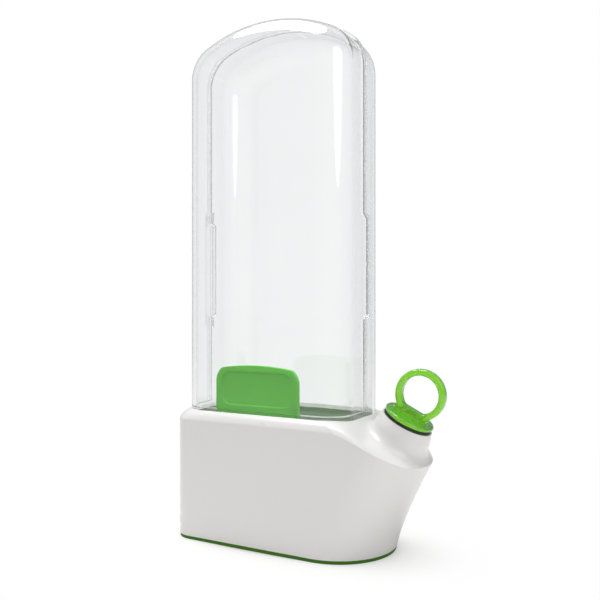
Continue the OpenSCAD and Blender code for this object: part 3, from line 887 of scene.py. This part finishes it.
def slot_tree(basket, material):
    """Geometry nodes that cut the rows of slots out of the basket's walls and floor."""
    tree = bpy.data.node_groups.new("basket_slots", "GeometryNodeTree")
    face = tree.interface
    face.new_socket(name="Geometry", in_out="INPUT", socket_type="NodeSocketGeometry")
    values = {
        "Slot Width": basket.slot_width, "Wall Slot Length": (basket.top - basket.low) * WALL_SLOT_SHARE,
        "Floor Slot Length": basket.depth * FLOOR_SLOT_SHARE, "Slot Pitch": basket.slot_pitch,
        "Wall Slot Height": (basket.low + basket.top) / 2, "Floor Height": basket.low,
        "Floor Row": basket.depth * FLOOR_ROW_SHARE, "Slot Count": basket.slot_count, "Material": material,
    }
    kinds = {"Slot Count": "NodeSocketInt", "Material": "NodeSocketMaterial"}
    sockets = {}
    for name in values:
        kind = kinds.get(name, "NodeSocketFloat")
        sockets[name] = face.new_socket(name=name, in_out="INPUT", socket_type=kind)
        if kind == "NodeSocketFloat":
            sockets[name].subtype = "DISTANCE"
    face.new_socket(name="Geometry", in_out="OUTPUT", socket_type="NodeSocketGeometry")
    source = tree.nodes.new("NodeGroupInput").outputs

    def node(kind, inputs, **settings):
        return add_node(tree, "GeometryNode" + kind, inputs, **settings).outputs[0]

    def vector(x, y=0.0, z=0.0):
        return add_node(tree, "ShaderNodeCombineXYZ", {"X": x, "Y": y, "Z": z}).outputs[0]

    def together(*shapes):
        both = tree.nodes.new("GeometryNodeJoinGeometry")
        for shape in shapes:
            tree.links.new(shape, both.inputs[0])
        return both.outputs[0]

    def slot(slot_length, depth):
        frame_size = {"Width": source["Slot Width"], "Height": slot_length}
        curve = node("CurvePrimitiveQuadrilateral", frame_size, mode="RECTANGLE")
        radius = maths(tree, "MULTIPLY", source["Slot Width"], SLOT_ROUND)
        fillet = {"Curve": curve, "Radius": radius, "Count": SLOT_CORNER_STEPS}
        curve = node("FilletCurve", fillet, mode="POLY")
        filled = node("FillCurve", {"Curve": curve}, mode="NGONS")
        raised = node("ExtrudeMesh", {"Mesh": filled, "Offset Scale": depth}, mode="FACES")
        both = together(raised, node("FlipFaces", {"Mesh": filled}))
        closed = node("MergeByDistance", {"Geometry": both, "Distance": MERGE_DISTANCE})
        return node("Transform", {"Geometry": closed, "Translation": (0, 0, -depth / 2)})

    gaps = maths(tree, "SUBTRACT", source["Slot Count"], 1)
    first = maths(tree, "MULTIPLY", gaps, maths(tree, "MULTIPLY", source["Slot Pitch"], -0.5))
    pitch = vector(source["Slot Pitch"])

    def row(shape, y, z):
        places = {"Count": source["Slot Count"], "Start Location": vector(first, y, z), "Offset": pitch}
        line = node("MeshLine", places, mode="OFFSET", count_mode="TOTAL")
        return node("InstanceOnPoints", {"Points": line, "Instance": shape})

    wall_slot = slot(source["Wall Slot Length"], 2 * basket.depth)
    wall_slot = node("Transform", {"Geometry": wall_slot, "Rotation": (pi / 2, 0, 0)})
    floor_slot = slot(source["Floor Slot Length"], 6 * basket.wall)
    back_row = maths(tree, "MULTIPLY", source["Floor Row"], -1.0)
    rows = together(row(wall_slot, 0.0, source["Wall Slot Height"]),
                    row(floor_slot, source["Floor Row"], source["Floor Height"]),
                    row(floor_slot, back_row, source["Floor Height"]))
    cutters = node("RealizeInstances", {"Geometry": rows})
    cut = node("MeshBoolean", {0: source["Geometry"], 1: cutters}, operation="DIFFERENCE", solver="EXACT")
    real = node("RealizeInstances", {"Geometry": cut})
    painted = node("SetMaterial", {"Geometry": real, "Material": source["Material"]})
    add_node(tree, "NodeGroupOutput", {0: painted})
    return tree, {sockets[name].identifier: value for name, value in values.items()}


def tab_outline(basket):
    """Front outline of the lift tab, up the right side and over the gentle arch."""
    half, r = basket.tab_width / 2, basket.tab_corner
    right = [(half, basket.top - TAB_ROOT)]
    right += [(half - r + r * cos(a), basket.tab_top - r + r * sin(a))
              for a in steps(0, pi / 2, TAB_CORNER_STEPS)]
    right += [(x, basket.tab_top) for x in steps(half - r, 0, TAB_ARCH_STEPS)[1:]]
    low = basket.tab_top - basket.tab_arch
    right = [(x, min(z, low + sqrt(basket.tab_arch ** 2 - x ** 2))) for x, z in right]
    outline = right + [(-x, z) for x, z in reversed(right[:-1])]
    return [(x + basket.tab_offset, z) for x, z in outline]


def make_basket(basket, material):
    width, depth, radius, wall = basket.width, basket.depth, basket.corner_radius, basket.wall
    outer = rounded_plan(width, depth, radius, BASKET_CORNER_STEPS)
    inner = rounded_plan(width - 2 * wall, depth - 2 * wall, radius - wall, BASKET_CORNER_STEPS)
    made = prism("lift_basket", outer, upright, basket.low, basket.top)
    combine(made, prism("hollow", inner, upright, basket.low + basket.wall, basket.top + FAR), "DIFFERENCE")
    tree, values = slot_tree(basket, material)
    step = modify(made, "NODES", node_group=tree)
    for identifier, value in values.items():
        step[identifier] = value
    applied(made)
    for sx in (-1, 1):
        for sy in (-1, 1):
            place = (sx * (basket.width / 2 - basket.corner_radius),
                     sy * (basket.depth - basket.corner_radius) / 2)
            combine(made, rod("leg", place, basket.leg_radius, basket.leg_low, basket.low + basket.wall / 2))

    front = -basket.depth / 2

    def facing(u, v, height):
        return (u, height, v)

    tab = prism("tab", tab_outline(basket), facing, front, front + basket.tab_thickness)
    border = basket.tab_border
    plan = rounded_plan(basket.tab_width - 2 * border, basket.panel_height, basket.tab_corner - border,
                        PANEL_CORNER_STEPS)
    middle = basket.tab_top - border - basket.panel_height / 2
    panel = [(x + basket.tab_offset, z + middle) for x, z in plan]
    combine(tab, prism("panel", panel, facing, front - PANEL_CUT, front + basket.panel_depth), "DIFFERENCE")
    bevel(tab, TAB_ROUND, CORNER_SHARP)
    combine(made, tab)
    return shade(made, BASKET_SHARP)


# ---- Materials ----

DEEP_RAY = 4.5
TONE_BAND = (0.25, 0.75)
GLOSS_BAND = (0.3, 0.7)
GRAIN_DEPTH = 0.05 * MM
CLEAR_GRAIN_DEPTH = 0.2 * MM

# share: tone of the dark mottles; smooth, worn: roughness; mottle, grain: scales; bump: strength of the grain
Finish = namedtuple("Finish", "share smooth worn mottle grain bump")
CLEAR = Finish(0.99, 0.015, 0.035, 18.0, 60.0, 0.003)
TRANSLUCENT = Finish(0.9, 0.08, 0.14, 60.0, 700.0, 0.03)
HOUSING = Finish(0.992, 0.27, 0.3, 14.0, 1400.0, 0.03)
PLATE = Finish(0.96, 0.35, 0.45, 25.0, 1200.0, 0.05)
RUBBER = Finish(0.85, 0.5, 0.65, 40.0, 1600.0, 0.12)
SEAL = Finish(0.7, 0.45, 0.6, 60.0, 1800.0, 0.15)
SATIN = Finish(0.92, 0.34, 0.46, 30.0, 1300.0, 0.05)
TABLE = Finish(0.995, 0.6, 0.7, 6.0, 90.0, 0.01)


def moulded_skin():
    """Shared skin of moulded plastic: faint mottling in colour and gloss, and a fine grain."""
    name = "moulded_skin"
    if name in bpy.data.node_groups:
        return bpy.data.node_groups[name]
    tree = bpy.data.node_groups.new(name, "ShaderNodeTree")
    for in_out, kind, labels in (
            ("INPUT", "NodeSocketColor", ("Light Colour", "Dark Colour")),
            ("INPUT", "NodeSocketFloat",
             ("Mottle Scale", "Smooth Roughness", "Worn Roughness", "Grain Scale")),
            ("OUTPUT", "NodeSocketColor", ("Colour",)),
            ("OUTPUT", "NodeSocketFloat", ("Roughness", "Height"))):
        for label in labels:
            tree.interface.new_socket(name=label, in_out=in_out, socket_type=kind)
    source = tree.nodes.new("NodeGroupInput").outputs
    place = add_node(tree, "ShaderNodeTexCoord").outputs["Object"]
    mottle, grain = (
        add_node(tree, "ShaderNodeTexNoise",
                 {"Vector": place, "Scale": source[scale], "Detail": detail, "Roughness": rough}).outputs[0]
        for scale, detail, rough in (("Mottle Scale", 4.0, 0.55), ("Grain Scale", 3.0, 0.6)))
    share = ranged(tree, mottle, 0.0, 1.0, *TONE_BAND, interpolation_type="SMOOTHSTEP")
    tone = blended(tree, share, source["Light Colour"], source["Dark Colour"])
    gloss = ranged(tree, mottle, source["Smooth Roughness"], source["Worn Roughness"], *GLOSS_BAND)
    add_node(tree, "NodeGroupOutput", {"Colour": tone, "Roughness": gloss, "Height": grain})
    return tree


def plastic(name, tone, finish, reach=GRAIN_DEPTH):
    """Material of a tone and a finish. Returns it with its tree and its Principled node."""
    material = bpy.data.materials.new(name)
    material.use_nodes = True
    tree = material.node_tree
    shader = tree.nodes["Principled BSDF"]
    dark = [channel * finish.share for channel in tone]
    values = {"Light Colour": (*tone, 1), "Dark Colour": (*dark, 1), "Mottle Scale": finish.mottle,
              "Smooth Roughness": finish.smooth, "Worn Roughness": finish.worn, "Grain Scale": finish.grain}
    surface = add_node(tree, "ShaderNodeGroup", values, node_tree=moulded_skin()).outputs
    relief = add_node(tree, "ShaderNodeBump",
                      {"Height": surface["Height"], "Strength": finish.bump, "Distance": reach})
    tree.links.new(surface["Colour"], shader.inputs["Base Color"])
    tree.links.new(surface["Roughness"], shader.inputs["Roughness"])
    tree.links.new(relief.outputs[0], shader.inputs["Normal"])
    return material, tree, shader


def shade_edges(tree, shader, edge_shade_tone, blend):
    """Painted shade: turn the base colour to a darker tone where the surface is seen at a grazing angle."""
    skin_tone = shader.inputs["Base Color"].links[0].from_socket
    layer = add_node(tree, "ShaderNodeLayerWeight", {"Blend": blend})
    tone = blended(tree, layer.outputs["Facing"], skin_tone, (*edge_shade_tone, 1))
    tree.links.new(tone, shader.inputs["Base Color"])


def let_light_through(tree, shader, share):
    """Turn the surface to a share of itself for shadow rays, and for rays that have bounced about."""
    path = add_node(tree, "ShaderNodeLightPath").outputs
    deep = maths(tree, "GREATER_THAN", path["Ray Depth"], DEEP_RAY)
    through = maths(tree, "MAXIMUM", path["Is Shadow Ray"], deep)
    tree.links.new(ranged(tree, through, 1.0, share), shader.inputs["Alpha"])


def clear_plastic(name, pod):
    material, tree, shader = plastic(name, pod.tint, CLEAR, CLEAR_GRAIN_DEPTH)
    shader.inputs["Transmission Weight"].default_value = 1.0
    shader.inputs["IOR"].default_value = 1.49
    shader.inputs["Specular IOR Level"].default_value = 0.35
    # Painted shade: grey mixed into the clear plastic at grazing angles.
    shade_edges(tree, shader, pod.edge_tint, blend=0.2)
    let_light_through(tree, shader, share=0.16)
    return material


def translucent_green(name, stopper):
    material, tree, shader = plastic(name, stopper.green, TRANSLUCENT)
    shader.inputs["Transmission Weight"].default_value = 0.55
    shader.inputs["IOR"].default_value = 1.5
    shader.inputs["Coat Weight"].default_value = 0.5
    shader.inputs["Coat Roughness"].default_value = 0.05
    # Painted shade: deeper green at grazing angles, for light lost through thicker plastic.
    shade_edges(tree, shader, stopper.deep_green, blend=0.42)
    let_light_through(tree, shader, share=0.7)
    return material


def seen_directly(tree):
    """1 for what the camera sees by itself or through the clear plastic, and otherwise 0."""
    path = add_node(tree, "ShaderNodeLightPath").outputs
    return maths(tree, "MAXIMUM", path["Is Camera Ray"], path["Is Transmission Ray"])


# ---- Operators ----

LAMP_SIZE = 0.6
KEY_PLACE = (-0.2, 0.0, 0.95)
SIDE_PLACE = (0.8, -0.35, 0.6)
LAMP_TARGET = Vector((0, 0, 0.1))
FLOOR_HALF = 4


def dressed(made, material, body, node):
    """Paint a piece, make it ride on its body, and let it stand for a CAD node."""
    paint(made, material)
    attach(made, body)
    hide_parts(node)
    return made


class KEEPER_OT_pod(bpy.types.Operator):
    """Clear back shell with the skirt and hinge bosses, and the clear front shell that swings"""

    bl_idname = "keeper.pod"
    bl_label = "Build Pod and Door"

    def execute(self, context):
        pod = context.scene.keeper_pod
        back = make_body(pod)
        front = make_door(pod)
        for made, body, node in ((back, "pod", "pod_body"), (front, "door", "pod_door")):
            shade(made, POD_SHARP)
            even_normals(made)
            dressed(made, clear_plastic(f"clear_{body}", pod), body, node)
        return {"FINISHED"}


class KEEPER_OT_base(bpy.types.Operator):
    """White water base with its leaning nose and spout, and the strip of its foot pad"""

    bl_idname = "keeper.base"
    bl_label = "Build Base"

    def execute(self, context):
        base, pod = context.scene.keeper_base, context.scene.keeper_pod
        white, _, shader = plastic("white_housing", base.white, HOUSING)
        shader.inputs["Coat Weight"].default_value = 0.25
        shader.inputs["Coat Roughness"].default_value = 0.12
        dressed(make_base(base, pod), white, "base", "base_housing")
        green, _, shader = plastic("green_foot", base.foot_green, RUBBER)
        shader.inputs["Specular IOR Level"].default_value = 0.2
        dressed(make_foot(base, pod), green, "base", "foot_pad")
        inner, _, _ = plastic("white_floor", base.white, PLATE)
        paint(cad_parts["reservoir_floor"], inner)
        return {"FINISHED"}


class KEEPER_OT_stopper(bpy.types.Operator):
    """Translucent stopper with its pull ring, and the seal ring under its flange, near black as the seal's
    own colour and as painted shade of the gap there
    """

    bl_idname = "keeper.stopper"
    bl_label = "Build Stopper"

    def execute(self, context):
        stopper, base = context.scene.keeper_stopper, context.scene.keeper_base
        green = translucent_green("green_stopper", stopper)
        dressed(make_stopper(stopper, base), green, "plug", "stopper")
        # The seal ring is painted near black, partly as painted shade of the gap under the flange.
        black, _, _ = plastic("black_seal_and_gap_shade", stopper.seal_black, SEAL)
        paint(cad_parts["stopper_seal"], black)
        return {"FINISHED"}


class KEEPER_OT_basket(bpy.types.Operator):
    """Green slotted basket with its lift tab"""

    bl_idname = "keeper.basket"
    bl_label = "Build Basket"

    def execute(self, context):
        basket = context.scene.keeper_basket
        green, _, shader = plastic("green_basket", basket.green, SATIN)
        shader.inputs["Specular IOR Level"].default_value = 0.3
        dressed(make_basket(basket, green), green, "basket", "herb_basket")
        return {"FINISHED"}


class KEEPER_OT_stage(bpy.types.Operator):
    """Pale floor, even sky, two soft lights and the camera"""

    bl_idname = "keeper.stage"
    bl_label = "Set Stage"

    def execute(self, context):
        stage = context.scene.keeper_stage
        scene = context.scene
        corners = [(FLOOR_HALF * x, FLOOR_HALF * y, 0) for x, y in ((-1, -1), (1, -1), (1, 1), (-1, 1))]
        floor = new_object("floor", corners, [[0, 1, 2, 3]])
        material, tree, shader = plastic("pale_floor", stage.floor_colour, TABLE)
        place = add_node(tree, "ShaderNodeTexCoord").outputs["Object"]
        spread = add_node(tree, "ShaderNodeVectorMath", {
            0: place, 1: (1 / stage.foot_length, 1 / stage.foot_width, 1)}, operation="MULTIPLY").outputs[0]
        away = add_node(tree, "ShaderNodeVectorMath", {0: spread}, operation="LENGTH").outputs["Value"]
        fade = maths(tree, "POWER", away, -stage.shadow_falloff)
        lift = maths(tree, "SUBTRACT", 1.0, fade, use_clamp=True)
        share = maths(tree, "MULTIPLY", seen_directly(tree), lift)
        white = add_node(tree, "ShaderNodeEmission", {"Color": (1, 1, 1, 1)})
        blend = add_node(tree, "ShaderNodeMixShader", {0: share, 1: shader.outputs[0], 2: white.outputs[0]})
        tree.links.new(blend.outputs[0], tree.nodes["Material Output"].inputs["Surface"])
        paint(floor, material)

        world = bpy.data.worlds.new("white_room")
        world.use_nodes = True
        scene.world = world
        sky = world.node_tree
        light = sky.nodes["Background"]
        strength = ranged(sky, seen_directly(sky), stage.sky, 1.0)
        light.inputs["Color"].default_value = (1, 1, 1, 1)
        sky.links.new(strength, light.inputs["Strength"])

        for name, place, power in (("key_light", KEY_PLACE, stage.key_power),
                                   ("side_light", SIDE_PLACE, stage.side_power)):
            lamp = bpy.data.lights.new(name, "AREA")
            lamp.shape = "DISK"
            lamp.size = LAMP_SIZE
            lamp.energy = power
            holder = linked(name, lamp)
            holder.location = place
            holder.rotation_euler = (LAMP_TARGET - Vector(place)).to_track_quat("-Z", "Y").to_euler()

        eye = bpy.data.cameras.new("camera")
        eye.lens = stage.lens
        eye.clip_start = 0.01
        eye.dof.use_dof = False
        camera = linked("camera", eye)
        camera.location = (stage.camera_x, stage.camera_y, stage.camera_z)
        camera.rotation_euler = (pi / 2, 0, stage.camera_turn)
        scene.camera = camera
        scene.view_settings.view_transform = "Standard"
        return {"FINISHED"}


class KEEPER_PT_panel(bpy.types.Panel):
    """Buttons for the pieces of the keeper"""

    bl_idname = "KEEPER_PT_panel"
    bl_label = "Herb Keeper"
    bl_space_type = "VIEW_3D"
    bl_region_type = "UI"
    bl_category = "Keeper"

    def draw(self, context):
        for operator in OPERATORS:
            self.layout.operator(operator.bl_idname)


SETTINGS = {
    "keeper_pod": KeeperPodSettings,
    "keeper_base": KeeperBaseSettings,
    "keeper_stopper": KeeperStopperSettings,
    "keeper_basket": KeeperBasketSettings,
    "keeper_stage": KeeperStageSettings,
}
OPERATORS = [KEEPER_OT_pod, KEEPER_OT_base, KEEPER_OT_stopper, KEEPER_OT_basket, KEEPER_OT_stage]


def register():
    for cls in [*SETTINGS.values(), *OPERATORS, KEEPER_PT_panel]:
        bpy.utils.register_class(cls)
    for name, cls in SETTINGS.items():
        setattr(bpy.types.Scene, name, PointerProperty(type=cls))


def unregister():
    for name in SETTINGS:
        delattr(bpy.types.Scene, name)
    for cls in [KEEPER_PT_panel, *reversed(OPERATORS), *reversed(SETTINGS.values())]:
        bpy.utils.unregister_class(cls)


def main():
    register()
    bpy.ops.keeper.pod()
    bpy.ops.keeper.base()
    bpy.ops.keeper.stopper()
    bpy.ops.keeper.basket()
    bpy.ops.keeper.stage()


if __name__ == "__main__":
    main()
